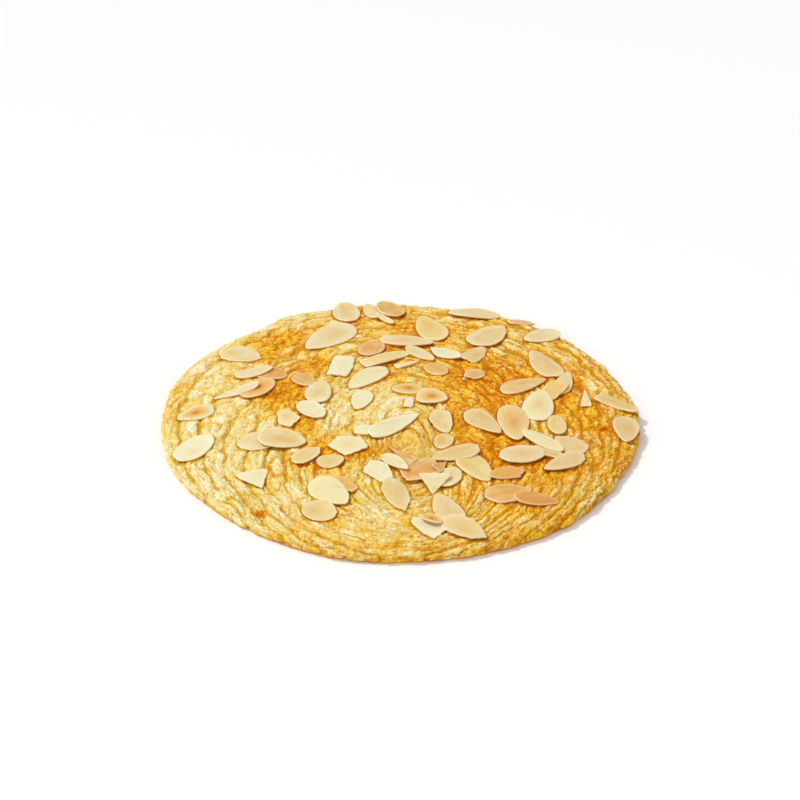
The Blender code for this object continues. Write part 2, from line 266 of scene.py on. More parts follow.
def dough_relief(phase, skin, at, look):
    """Relief of the top: its height, how deep in a groove the point is, and how pale it stayed.

    The skin is the phase again, going on down the rim's side. The look is how pressed, brown and smooth the
    dough is there.
    """
    pressed, brown, smooth = look
    bubbly = min(2 * brown, 1.0)
    broken_up = clamp(2.2 * brown - 0.4)
    rope = groove_line(min(phase, COIL_TURNS - 0.5), 7)
    firm = clamp(0.7 + 0.4 * smooth + 0.6 * wander(at, FIRM_LENGTH, FIRM_LAYER), 0.3)
    firm *= 0.5 + 0.5 * min(phase / FIRM_FROM, 1.0)
    firm *= 1 - pressed
    firm *= 1 - 0.5 * broken_up

    split = groove_line(2 * phase + SPLIT_WANDER * wander(at, SPLIT_WANDER_LENGTH, SPLIT_WANDER_LAYER), 4)
    split_here = 0.4 + 0.6 * at.x / OUTLINE_RADIUS + 0.9 * wander(at, SPLIT_LENGTH)
    split_here += 0.5 * max(1 - phase / FIRM_FROM, 0.0)
    split_here = clamp(split_here, 0.05) * (1 - 0.8 * pressed) * (1 - 0.6 * broken_up)

    away, seam, strand_tone = crust_cell(along_ropes(at, skin, STRAND_LENGTH, STRAND_WIDTH), 0.35)
    strand = seam**0.6 * (1 - 0.45 * away)
    fibre = 1 - 2 * abs(noise.noise(along_ropes(at, skin, FIBRE_LENGTH, FIBRE_WIDTH)))

    knobs = along_ropes(at, skin, KNOB_LENGTH, KNOB_WIDTH) + Vector((0.0, 0.0, KNOB_LAYER))
    away, from_crevice, knob_tone = crust_cell(knobs, 0.35)
    crevice = 1 - from_crevice**0.7
    knob = rounded(away)
    knobbly = (0.35 + 0.65 * bubbly) * (1 - 0.75 * smooth)

    away, from_pit, bead_tone = crust_cell(along_ropes(at, skin, BEAD_LENGTH, BEAD_WIDTH), 0.4)
    pit = 1 - from_pit
    bead = rounded(away)

    tone = 0.4 * (1 - 0.6 * broken_up) * strand_tone + (0.3 - 0.2 * smooth) * knob_tone
    tone += (0.3 + 0.1 * broken_up) * bead_tone
    tone -= firm * (0.25 + 0.25 * at.x / OUTLINE_RADIUS) * math.cos(math.tau * phase)

    height = COIL_DEPTH * firm * (rope - 0.85)
    height += SPLIT_DEPTH * split_here * (split - 0.75)
    height += STRAND_DEPTH * (1 - 0.5 * pressed) * (strand - 0.65)
    height += FIBRE_DEPTH * (fibre - 0.6)
    height += KNOB_DEPTH * knobbly * (0.6 * knob - 0.4 * crevice - 0.2)
    height += BEAD_DEPTH * (1 - 0.2 * bubbly) * (bead - 0.5 - 0.3 * pit)
    groove = firm * (1 - rope) + split_here * (1 - split) + 0.4 * (1 - 0.5 * pressed) * (1 - seam)
    groove += 0.35 * knobbly * crevice + (0.28 + 0.12 * broken_up) * pit
    for across, back, reach, depth in HOLES:
        hole = math.exp(-(((at.x / MM - across) ** 2 + (at.y / MM - back) ** 2) / reach**2) ** 2)
        height -= depth * MM * hole
        groove += depth * hole
    return height, clamp(groove), clamp(0.5 + 0.5 * tone)


def disc_place(across, back):
    """Reach and angle on a round disc for a point on a square from -1 to 1, uncrowded at its corners."""
    if across == 0 and back == 0:
        return 0.0, 0.0
    if abs(across) > abs(back):
        reach, angle = across, math.pi / 4 * back / across
    else:
        reach, angle = back, math.pi / 2 - math.pi / 4 * across / back
    if reach < 0:
        reach, angle = -reach, angle + math.pi
    return reach, angle


# How brown the top is in the middle, and how much more so at the right.
BROWNING = 0.175
BROWNER_RIGHT = 0.075

# Where the oven browned the top more, and two rows that brown the shaded rim as painted shade: place across
# and towards the back, reach across and back, all in millimetres, turn in degrees, and how strongly. Below
# zero it stayed paler.
BROWNED = (
    (43, 27, 14, 10, 0, 0.78),
    (24, 12, 12, 10, -30, 0.55),
    (26, 28, 9, 9, 0, 0.5),
    (37, 6, 7, 14, 0, 0.7),
    (57, 6, 6, 9, 0, 0.6),
    (66, -2, 9, 18, 0, 0.3),
    (22, -12, 5, 14, 12, 0.75),
    (38, -23, 8, 8, 0, 0.75),
    (32, -31, 7, 5, 0, 0.8),
    (53, -33, 9, 6, 20, 0.8),
    (36, -43, 9, 8, 0, 0.65),
    (60, -42, 12, 10, 30, 0.35),
    (80, -34, 6, 18, -24, 0.25),
    (73, -10, 5, 9, 0, 0.3),
    (65, 22, 5, 11, 0, 0.4),
    (30, 41, 6, 6, 0, 0.55),
    (60, 62, 6, 5, 0, 0.45),
    (78, 30, 5, 16, 20, 0.15),
    (-47, 57, 13, 9, 30, 0.58),
    (-32, 35, 8, 7, 0, 0.55),
    (-52, 42, 6, 6, 0, 0.4),
    (-43, 12, 9, 16, 15, 0.65),
    (-52, 15, 8, 7, 0, 0.45),
    (-36, -9, 5, 10, 0, 0.65),
    (-28, -36, 10, 8, -20, 0.6),
    (-25, -24, 8, 5, 0, 0.45),
    (-11, -31, 12, 5, 0, 0.5),
    (-6, 35, 8, 5, 0, 0.5),
    (-5, 48, 6, 5, 0, 0.45),
    (12, 50, 6, 6, 0, 0.45),
    (-18, 80, 5, 9, 0, 0.45),
    (2, 67, 5, 11, 0, 0.35),
    (17, 62, 5, 6, 0, 0.35),
    (-6, 24, 12, 5, 0, 0.35),
    (3, -50, 5, 8, 0, 0.25),
    (22, -56, 9, 8, 0, 0.2),
    (45, -62, 14, 7, 40, 0.3),
    (6, -68, 6, 6, 0, 0.12),
    (-47, -45, 6, 7, 0, 0.3),
    (-24, -72, 7, 5, 0, 0.22),
    (0, -87, 45, 3, 0, 0.12),
    (40, -79, 14, 3, 30, 0.15),
    (-86, 12, 3, 18, 0, 0.25),
    # Painted shade: these two rows brown the rim at the lower right and at the right, which lie in shade.
    (63, -63, 22, 3.5, 45, 0.3),
    (88, -10, 3.5, 20, 0, 0.25),
    (76, -10, 1.6, 1.6, 0, 2.0),
    (-49, -66.5, 2.8, 1.8, 0, 0.85),
    (67, -52, 9, 9, 0, -0.28),
    (-12, -2, 24, 20, 30, -0.12),
    (6, -22, 14, 10, 0, 0.2),
    (0, -80, 60, 16, 0, 0.07),
    (0, 66, 60, 22, 0, 0.15),
    (-68, -38, 18, 26, 30, -0.35),
    (-42, 72, 14, 9, 30, -0.15),
    (-66, 48, 10, 8, 40, -0.2),
    (-8, -60, 24, 11, 0, -0.12),
)

# The height in millimetres up to which the tray browned the rim, and how strongly.
TRAY_BROWNS_TO = 2.7
TRAY_BROWNING = 0.92


def patches(places, rows):
    """What soft patches, each with its place, reach, turn and strength, add up to at these places."""
    total = np.zeros(len(places))
    for across, back, reach_x, reach_y, turn, strength in rows:
        cos, sin = math.cos(math.radians(turn)), math.sin(math.radians(turn))
        x, y = places[:, 0] / MM - across, places[:, 1] / MM - back
        along, aside = (x * cos + y * sin) / reach_x, (y * cos - x * sin) / reach_y
        total += strength * np.exp(-along * along - aside * aside)
    return total


def browning(places):
    """How brown the oven and, at the bottom, the tray left the dough at these places, from 0, pale, to 1."""
    total = BROWNING + BROWNER_RIGHT * places[:, 0] / OUTLINE_RADIUS + patches(places, BROWNED)
    from_tray = (1 - places[:, 2] / MM / TRAY_BROWNS_TO).clip(0.0, 1.0)
    return total.clip(0.0, 1.0) * (1 - from_tray) + TRAY_BROWNING * from_tray


def plan_top(shape):
    """Adds the top's grid: every point with its reach, its direction and its height as a share."""
    plans = []
    for vertex in bmesh.ops.create_grid(shape, x_segments=TOP_CELLS, y_segments=TOP_CELLS, size=1.0)["verts"]:
        reach, angle = disc_place(vertex.co.x, vertex.co.y)
        reach *= TOP_REACH
        rounding = max((reach - ROUNDING_START) / (TOP_REACH - ROUNDING_START), 0.0)
        plans.append((vertex, reach, angle, 1 - (1 - TOP_SHARE) * rounding**ROUNDING_POWER))
    return plans


def plan_rim(shape, top):
    """Draws the rim out of the top's edge: its points, planned like the top's, and its lowest edge."""
    plans = []
    angles = {vertex: angle for vertex, _, angle, _ in top if vertex.is_boundary}
    edge = [item for item in shape.edges if item.is_boundary]
    for reach, up in RIM_ROWS:
        drawn = bmesh.ops.extrude_edge_only(shape, edges=edge)["geom"]
        edge = [item for item in drawn if isinstance(item, bmesh.types.BMEdge) and item.is_boundary]
        outer = {}
        for vertex in (item for item in drawn if isinstance(item, bmesh.types.BMVert)):
            ends = (link.other_vert(vertex) for link in vertex.link_edges)
            outer[vertex] = next(angles[end] for end in ends if end in angles)
            plans.append((vertex, reach, outer[vertex], up))
        angles = outer
    return plans, edge


def plan_underside(shape):
    """Adds the underside's grid: its points, planned like the top's."""
    grid = bmesh.ops.create_grid(shape, x_segments=UNDER_CELLS, y_segments=UNDER_CELLS, size=1.0)["verts"]
    return [(vertex, *disc_place(vertex.co.x, vertex.co.y), 0.0) for vertex in grid]


def planned_looks(plans):
    """How pressed, brown and smooth the top is at each planned point, well above the tray."""
    outs = [(outline_radius(angle) * reach, angle) for _, reach, angle, _ in plans]
    places = np.array([(out * math.cos(angle), out * math.sin(angle), 1.0) for out, angle in outs])
    pressed, smooth = patches(places, PRESSED).clip(0.0, 1.0), patches(places, SMOOTH).clip(0.0, 1.0)
    return np.stack((pressed, browning(places), smooth), axis=1).tolist()


def dough_shape():
    """The whole dough: a fine top, a rounded rim drawn out from its edge, and a coarser underside."""
    shape = bmesh.new()
    groove_layer = shape.verts.layers.float.new("groove")
    pale_layer = shape.verts.layers.float.new("paleness")
    rope_layer = shape.verts.layers.float_vector.new("along_ropes")
    top = plan_top(shape)
    rim, edge = plan_rim(shape, top)
    underside = plan_underside(shape)
    plans = top + rim + underside
    under = {vertex for vertex, *_ in underside}

    for look, (vertex, reach, angle, up) in zip(planned_looks(plans), plans):
        if vertex in under:
            reach *= UNDER_REACH
        out = reach * outline_radius(angle)
        at = Vector((out * math.cos(angle), out * math.sin(angle), 0.0))
        near_rim = clamp((reach - NEAR_RIM_START) / NEAR_RIM_WIDTH)
        look[2] *= 1 - near_rim
        side = clamp((reach - SIDE_START) / SIDE_WIDTH)
        crinkle = wander(at, CRINKLE_LENGTH, up)
        at *= 1 + near_rim * CRINKLE_DEPTH * (crinkle - 0.35) / OUTLINE_RADIUS
        phase = coil_phase(reach, angle, at)
        skin = phase + (1 - up) * RIM_THICKNESS / COIL_PITCH
        height, groove, paleness = dough_relief(phase, skin, at, look)
        z = up * (smooth_thickness(reach, at) + height * (1 - 0.3 * side))
        at *= 1 + side * min(up / 0.3, 1.0) * height / OUTLINE_RADIUS
        if vertex in under:
            pits = UNDER_PITS * max(wander(at, UNDER_PITS_LENGTH) + 0.6, 0.0)
            z = (pits + UNDER_GROOVE * groove**2) * (1 - reach**8)
        vertex.co = (at.x, at.y, z)
        vertex[groove_layer] = groove * (1 - 0.15 * side)
        vertex[pale_layer] = paleness
        vertex[rope_layer] = along_ropes(at, skin, FIBRE_LENGTH, FIBRE_WIDTH)
    links = (item for vertex, *_ in underside for item in vertex.link_edges if item.is_boundary)
    bmesh.ops.bridge_loops(shape, edges=[*edge, *dict.fromkeys(links)])
    bmesh.ops.recalc_face_normals(shape, faces=shape.faces)
    return shape


def in_scene(name, data):
    """A new object of the scene, made of this data."""
    item = bpy.data.objects.new(name, data)
    bpy.context.scene.collection.objects.link(item)
    return item


def visible_piece(mesh):
    """A visible object of this mesh, riding on the cookie's one body."""
    piece = in_scene(mesh.name, mesh)
    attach(piece, "root")
    return piece


def vertex_values(mesh, name, width):
    """The stored values of one of the mesh's vertex attributes, one row for each vertex."""
    values = np.zeros(width * len(mesh.vertices))
    mesh.attributes[name].data.foreach_get("value" if width == 1 else "vector", values)
    return values.reshape(-1, width)


def dough_piece():
    """The visible object of the dough, with how brown the oven left it stored at every vertex."""
    mesh = bpy.data.meshes.new("dough")
    shape = dough_shape()
    shape.to_mesh(mesh)
    shape.free()
    mesh.shade_smooth()
    browned = mesh.attributes.new("browning", "FLOAT", "POINT")
    browned.data.foreach_set("value", browning(vertex_values(mesh, "position", 3)))
    return visible_piece(mesh)


class Value:
    """A number that varies over a surface: Python's arithmetic on it adds the Math nodes."""

    def __init__(self, finish, socket):
        self.finish = finish
        self.socket = socket

    def _math(self, operation, *operands):
        node = self.finish.nodes.new("ShaderNodeMath")
        node.operation = operation
        for socket, operand in zip(node.inputs, operands):
            self.finish.feed(socket, operand)
        return Value(self.finish, node.outputs[0])

    def __add__(self, other):
        return self._math("ADD", self, other)

    def __sub__(self, other):
        return self._math("SUBTRACT", self, other)

    def __rsub__(self, other):
        return self._math("SUBTRACT", other, self)

    def __mul__(self, other):
        return self._math("MULTIPLY", self, other)

    def __pow__(self, other):
        return self._math("POWER", self, other)

    __radd__ = __add__
    __rmul__ = __mul__

    def between(self, low, high):
        """0 up to low and 1 from high on, rising smoothly in between."""
        node = self.finish.nodes.new("ShaderNodeMapRange")
        node.interpolation_type = "SMOOTHSTEP"
        self.finish.feed(node.inputs["Value"], self)
        node.inputs["From Min"].default_value = low
        node.inputs["From Max"].default_value = high
        return Value(self.finish, node.outputs["Result"])


class Finish:
    """A node material under construction. Sockets are named by their identifiers."""

    def __init__(self, name):
        self.material = bpy.data.materials.new(name)
        self.material.use_nodes = True
        self.tree = self.material.node_tree
        self.nodes = self.tree.nodes
        self.surface = self.nodes["Principled BSDF"]

    def feed(self, socket, source):
        """Links or sets one input socket."""
        if isinstance(source, Value):
            source = source.socket
        if isinstance(source, bpy.types.NodeSocket):
            self.tree.links.new(source, socket)
        else:
            socket.default_value = source

    def add(self, kind, output, settings=None, **sources):
        """A node with its settings made first, then its sockets fed. Gives back one of its outputs."""
        node = self.nodes.new(kind)
        for name, value in (settings or {}).items():
            setattr(node, name, value)
        by_identifier = {socket.identifier: socket for socket in node.inputs}
        for name, source in sources.items():
            self.feed(by_identifier[name], source)
        return next(socket for socket in node.outputs if socket.identifier == output)

    def value(self, *details, **sources):
        return Value(self, self.add(*details, **sources))

    def noise(self, vector, scale, detail=2.0, roughness=0.5):
        return self.value("ShaderNodeTexNoise", "Fac", Vector=vector, Scale=scale, Detail=detail,
                          Roughness=roughness)

    def attribute(self, name, output):
        return self.add("ShaderNodeAttribute", output, {"attribute_name": name})

    def mix(self, factor, first, second):
        return self.add("ShaderNodeMix", "Result_Color", {"data_type": "RGBA"}, Factor_Float=factor,
                        A_Color=first, B_Color=second)

    def bump(self, height, distance, strength=1.0):
        return self.add("ShaderNodeBump", "Normal", Height=height, Distance=distance, Strength=strength)

    def finish(self, **sources):
        """Feeds the surface's sockets, whose names have a space where the key has an underscore."""
        for name, source in sources.items():
            self.feed(self.surface.inputs[name.replace("_", " ")], source)
        return self.material


def colour(red, green, blue):
    """A colour as seen on a screen, from 0 to 255, made linear."""
    linear = [((part / 255 + 0.055) / 1.055) ** 2.4 for part in (red, green, blue)]
    return (*linear, 1.0)


CREAM = colour(255, 247, 222)
BUTTER = colour(240, 228, 173)
STRAW = colour(242, 206, 100)
SAND = colour(255, 232, 178)
GOLD = colour(244, 194, 30)
AMBER = colour(237, 159, 4)
LEMON = colour(232, 187, 46)
HONEY = colour(206, 154, 0)
CARAMEL = colour(204, 123, 0)
RUST = colour(194, 102, 0)


def baked_dough():
    """Pale butter-yellow ropes, golden where the oven caught them, amber in grooves partly as painted shade,
    with painted glints.
    """
    made = Finish("baked_dough")
    here = made.add("ShaderNodeTexCoord", "Object")
    ropes = made.attribute("along_ropes", "Vector")
    groove = Value(made, made.attribute("groove", "Fac"))
    brown = Value(made, made.attribute("browning", "Fac"))
    paleness = Value(made, made.attribute("paleness", "Fac"))

    blotch = made.noise(here, 160, 3.0)
    fibre = made.noise(ropes, 1.6, 3.0, 0.6)
    grain = made.noise(here, 900, 2.0, 0.6)
    cell = made.value("ShaderNodeTexVoronoi", "Distance", Vector=ropes, Scale=2.3)
    fine = made.noise(here, 2000, 1.0)
    glint_fleck = made.noise(here, 1200, 1.0).between(0.55, 0.66)

    heat = 0.94 * brown + 0.8 * (blotch - 0.5) + 0.3 * (fibre - 0.5)
    heat = heat - (0.5 + 0.6 * brown) * (paleness - 0.5)
    crust = made.mix(heat.between(-0.05, 0.35), BUTTER, STRAW)
    crust = made.mix(heat.between(0.30, 0.65), crust, GOLD)
    crust = made.mix(heat.between(0.65, 1.05), crust, AMBER)
    # The tops of the paler knobs and beads are mixed towards cream: partly their own paler tone, partly a
    # painted highlight.
    crest = (paleness + 0.3 * (grain - 0.5)).between(0.52, 0.80) * (1 - groove)
    pale_and_highlight = made.mix(brown.between(0.10, 0.38), CREAM, SAND)
    crust = made.mix((0.74 - 0.33 * brown) * crest, crust, pale_and_highlight)
    # Grooves, pits and fine hollows turn lemon to amber and honey to rust: partly the crust's own colour,
    # partly painted shade.
    depth = groove + 0.45 * (cell - 0.45) + 0.3 * (0.5 - fibre) + 0.5 * (0.5 - grain) + 0.6 * (0.5 - fine)
    dip = made.mix(brown.between(0.15, 0.55), LEMON, AMBER)
    crust = made.mix(0.55 * depth.between(0.26, 0.62), crust, dip)
    hollow = made.mix(brown.between(0.0, 0.5), HONEY, CARAMEL)
    hollow = made.mix(brown.between(0.4, 1.0), hollow, RUST)
    crust = made.mix(0.97 * depth.between(0.40, 1.00), crust, hollow)
    # Painted glints: small flecks mixed towards near white, on the crust outside the grooves.
    crust = made.mix((0.6 - 0.4 * brown.between(0.3, 0.8)) * glint_fleck * (1 - groove), crust, pale_and_highlight)

    height = 0.6 * grain + 0.5 * fibre - 0.9 * cell + 0.6 * fine
    return made.finish(
        Base_Color=crust,
        Roughness=0.40 + 0.25 * grain,
        Specular_IOR_Level=0.05,
        Coat_Weight=0.08 * glint_fleck,
        Coat_Roughness=0.15,
        Subsurface_Weight=0.25,
        Subsurface_Scale=0.0015,
        Subsurface_Radius=(1.0, 0.6, 0.2),
        Normal=made.bump(height, 0.0006, 0.85),
    )


dough = dough_piece()
dough.data.materials.append(baked_dough())
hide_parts("cookie")


# The almond slices. Blanched kernels are cut lengthwise into slices about a millimetre thick, which are
# strewn over the raw dough and toasted with it, each at its own pace. The cut leaves two flat faces, slightly
# warped by the heat, with a thin rounded rim, painted paler partly as a highlight and darker at its foot as
# painted shade.

SLICE_THICKNESS = 0.8 * MM
SLICE_SINK = 0.3 * MM
SLICE_CORNERS = 40
FIRST_SLICE_SEED = 100

# How far a slice is bent by the heat and its rim leans over, in millimetres.
SLICE_BEND = 0.45
SLICE_LEAN = 0.25

# How uneven the edges of all the slices are, and how ragged those of whole and of broken ones, as shares of
# the half size.
UNEVEN_EDGE = 0.04
WHOLE_RAGGED = 0.03
BROKEN_RAGGED = 0.11

# A slice's cut through, from the middle of its top out and round the thin rim to the middle of its underside:
# each point's distance from the middle and its height, as shares of the half size and of the thickness.
SLICE_PROFILE = (
    (0.35, 1.0),
    (0.70, 1.0),
    (0.92, 1.01),
    (0.965, 1.02),
    (0.99, 0.95),
    (1.0, 0.62),
    (1.0, 0.30),
    (0.985, 0.07),
    (0.94, 0.0),
    (0.55, 0.0),
)

# In how many corners an outline is followed to measure it.
SPREAD_CORNERS = 72

# Where a slice feels for what is under it: on rings of spots, as shares of its size. How steep it may lie.
SUPPORT_RINGS = (0.45, 0.9)
SUPPORT_CORNERS = 10
MOST_TILT = 0.30
DROP_HEIGHT = 50 * MM
DOWN = Vector((0.0, 0.0, -1.0))

# The painted shade round the slices, where they meet the dough: how far it reaches from their edges, how
# much, how low on the rim it still counts, and in how many corners an edge is followed.
GAP_REACH = 0.65 * MM
GAP_SHADE = 0.8
GAP_LOWEST = 2.5 * MM
GAP_CORNERS = 96

# How a slice of each kind is shaped: its narrowing towards the tip, how round the tip is (1 is fully round),
# and where it is broken off: each break has the direction that it faces in degrees from the tip, and its
# distance from the middle as a share of the half size.
SLICE_KINDS = {
    "tear": (0.18, 0.75, ()),
    "drop": (0.20, 0.88, ()),
    "oval": (0.05, 1.0, ()),
    "nicked": (0.12, 0.85, ((35, 0.80), (-28, 0.88))),
    "half": (0.10, 1.0, ((0, 0.30),)),
    "block": (0.0, 1.0, ((0, 0.62), (180, 0.55), (92, 0.75))),
    "chip": (0.0, 1.0, ((8, 0.78), (75, 0.72), (140, 0.84), (215, 0.74), (295, 0.70))),
    "shield": (0.05, 0.85, ((90, 0.80), (158, 0.62), (215, 0.72))),
    "wedge": (0.60, 0.75, ((180, 0.55),)),
}

# The slices, the lowest first: kind, place across and towards the back, length and width in millimetres,
# the direction of the tip in degrees, anticlockwise from the right, how toasted it is and how brown a mark
# its middle has, both from 0 to 1.
SLICES = (
    ("nicked", -62, 45, 18, 12, -25, 0.4, 0.0),
    ("drop", -28, 57.5, 26, 15, 230, 0.25, 0.35),
    ("drop", -22, 82.5, 21, 11, 98, 0.4, 0.3),
    ("drop", -11, 82, 15, 8, 112, 0.35, 0.0),
    ("oval", -4, 83, 17, 11, 108, 0.75, 0.4),
    ("oval", -6, 73.5, 11, 3, -50, 0.15, 0.0),
    ("oval", 2.5, 51.5, 21, 8, -8, 0.35, 0.1),
    ("drop", 12, 65.5, 24, 12, 105, 0.45, 0.35),
    ("oval", 30, 80.5, 21, 11, -8, 0.35, 0.1),
    ("oval", -11, 46, 13, 10, 65, 0.8, 0.3),
    ("drop", 8, 41, 16, 6, -50, 0.3, 0.0),
    ("shield", 18, 41.5, 14, 9, -36, 0.0, 0.0),
    ("wedge", 3, 33, 10, 4, 20, 0.15, 0.0),
    ("half", -5, 37.5, 21, 7, 208, 0.35, 0.2),
    ("oval", 14, 28.5, 11, 8, -52, 0.85, 0.2),
    ("half", 29, 42.5, 14, 8, 240, 0.55, 0.1),
    ("drop", 35, 59, 22, 13, 55, 0.4, 0.2),
    ("chip", 48.5, 74, 11, 7, 190, 0.7, 0.2),
    ("drop", 56, 61.5, 18, 11, 222, 0.3, 0.0),
    ("drop", 56, 36.5, 22, 11, 113, 0.45, 0.1),
    ("drop", 62.5, 21.5, 17, 7, 74, 0.3, 0.0),
    ("tear", 47, 19, 20, 9, 30, 0.65, 0.2),
    ("half", 57.5, 14, 15, 8, 60, 0.65, 0.0),
    ("drop", 52, 4, 22, 12, 80, 0.1, 0.45),
    ("tear", 31, -11, 19, 10, -52, 0.55, 0.1),
    ("drop", 42, -10, 24, 12, -87, 0.5, 0.6),
    ("oval", 58, -10, 13, 7, 92, 0.45, 0.1),
    ("wedge", 70, 11, 13, 4, 88, 0.3, 0.0),
    ("half", 82, 8, 17, 7, 148, 0.6, 0.1),
    ("drop", 83.5, -10, 18, 10, -95, 0.5, 0.3),
    ("nicked", 62, -23, 14, 10, 140, 0.55, 0.0),
    ("half", 54, -29, 12, 7, 145, 0.55, 0.0),
    ("oval", 52, -22, 19, 7, -42, 0.1, 0.0),
    ("oval", 44, -32, 17, 11, 15, 0.3, 0.4),
    ("drop", 59, -35.5, 18, 8, 216, 0.45, 0.0),
    ("shield", 38, -44.5, 14, 8, 196, 0.95, 0.3),
    ("nicked", 38, -56, 17, 11, 15, 0.75, 0.5),
    ("tear", 48, -59.5, 16, 7, -3, 0.95, 0.2),
    ("drop", 27, -41, 19, 11, -62, 0.45, 0.1),
    ("oval", 16, -24, 10, 7, 70, 0.5, 0.3),
    ("tear", 20, -32.5, 19, 10, 208, 0.55, 0.3),
    ("chip", 11, -45, 14, 9, -20, 0.6, 0.1),
    ("block", 7, -43, 14, 13, 22, 0.8, 0.3),
    ("wedge", 14.5, -42, 8, 5, 60, 0.75, 0.0),
    ("wedge", 0.5, -34, 14, 5, 128, 0.72, 0.2),
    ("tear", -1.5, -39.5, 14, 6, -50, 0.2, 0.0),
    ("chip", -8, -43.5, 14, 10, -62, 0.05, 0.0),
    ("nicked", -1, -58, 19, 9, -72, 0.45, 0.3),
    ("oval", 17.5, -47.5, 12, 8, 55, 0.25, 0.3),
    ("wedge", 12, -52, 10, 11, -95, 0.3, 0.0),
    ("chip", -20, -52, 12, 7, -45, 0.95, 0.0),
    ("oval", -28, -67, 13, 11, -40, 0.45, 0.2),
    ("drop", -24.5, -56.5, 19, 12, -52, 0.15, 0.0),
    ("drop", 16.5, -66, 18, 10, 114, 0.35, 0.3),
    ("nicked", 22, -77, 18, 10, -31, 0.35, 0.35),
    ("half", 9, -76, 13, 7, -42, 0.1, 0.0),
    ("oval", 11, -73.5, 8, 6, -35, 0.6, 0.9),
    ("oval", -25, -37, 10, 8, 20, 0.45, 0.1),
    ("nicked", -33.5, -33, 13, 8, 46, 0.4, 0.1),
    ("chip", -19, -27, 14, 13, 10, 0.0, 0.3),
    ("half", -13, -16.5, 8, 6, 10, 0.05, 0.0),
    ("tear", -2, -13, 24, 9, 41, 0.1, 0.2),
    ("shield", 15.5, -10.5, 17, 9, -82, 0.35, 0.1),
    ("drop", -14.5, 5.5, 14, 8, 258, 0.0, 0.0),
    ("oval", 3, 13, 12, 8, -10, 0.5, 0.9),
    ("drop", 12, 6, 12, 11, -6, 0.35, 0.85),
    ("drop", -12.4, 22.5, 21, 10, 230, 0.15, 0.1),
    ("block", -23, 32, 16, 10, 80, 0.1, 0.0),
    ("drop", -36, 20.5, 12, 8, -50, 0.75, 0.2),
    ("drop", -30.5, 11.5, 16, 10, 80, 0.3, 0.3),
    ("oval", -33, -1.5, 14, 9, -50, 0.1, 0.0),
    ("chip", -41.5, -7, 13, 9, 105, 0.25, 0.1),
    ("oval", -52, -22, 15, 12, 10, 0.35, 0.0),
    ("drop", -43, -22, 18, 13, -12, 0.42, 0.3),
    ("oval", -75, -24, 19, 12, 55, 0.0, 0.0),
    ("drop", -76.5, 0.5, 15, 9, 208, 0.2, 0.9),
    ("oval", -49.5, 27.5, 13, 9, -20, 0.95, 0.4),
    ("drop", -56, 29, 15, 8, 12, 0.25, 0.0),
    ("oval", -54, 16, 17, 11, 55, 0.65, 0.95),
    ("tear", -62, 14, 19, 6, 208, 0.2, 0.0),
    ("shield", 28.5, 25.5, 9, 8, 20, 0.65, 0.5),
    ("block", 3, 2, 5, 4, 80, 0.0, 0.0),
    ("wedge", -51, -47, 12, 12, -68, 0.05, 0.0),
)


def almond_piece(name, places, faces, insides):
    """A visible object of copies of one shape, from every copy's corners and what the finish needs there."""
    copies, corners = places.shape[:2]
    mesh = bpy.data.meshes.new(name)
    firsts = range(0, copies * corners, corners)
    joined = [[corner + first for corner in face] for first in firsts for face in faces]
    mesh.from_pydata(places.reshape(-1, 3), [], joined)
    for label, values in (("in_slice", insides[:, :, :3]), ("slice_look", insides[:, :, 3:])):
        mesh.attributes.new(label, "FLOAT_VECTOR", "POINT").data.foreach_set("vector", values.ravel())
    mesh.shade_smooth()
    return visible_piece(mesh)


def slice_edge(kind, angle):
    """A point on the outline of a slice with half length and half width 1, its tip at +X."""
    taper, roundness, breaks = SLICE_KINDS[kind]
    along = 1 - 2 * ((1 - math.cos(angle)) / 2) ** roundness
    edge = Vector((along, math.sin(angle) * (1 - taper * math.cos(angle))))
    for direction, distance in breaks:
        facing = Vector((math.cos(math.radians(direction)), math.sin(math.radians(direction))))
        edge *= min(1.0, distance / max(edge.dot(facing), distance))
    return edge


def slice_spread(kind):
    """Where the outline starts and ends along the slice, and its half width, to scale it to its size."""
    edge = [slice_edge(kind, math.tau * corner / SPREAD_CORNERS) for corner in range(SPREAD_CORNERS)]
    return min(p.x for p in edge), max(p.x for p in edge), max(abs(p.y) for p in edge)


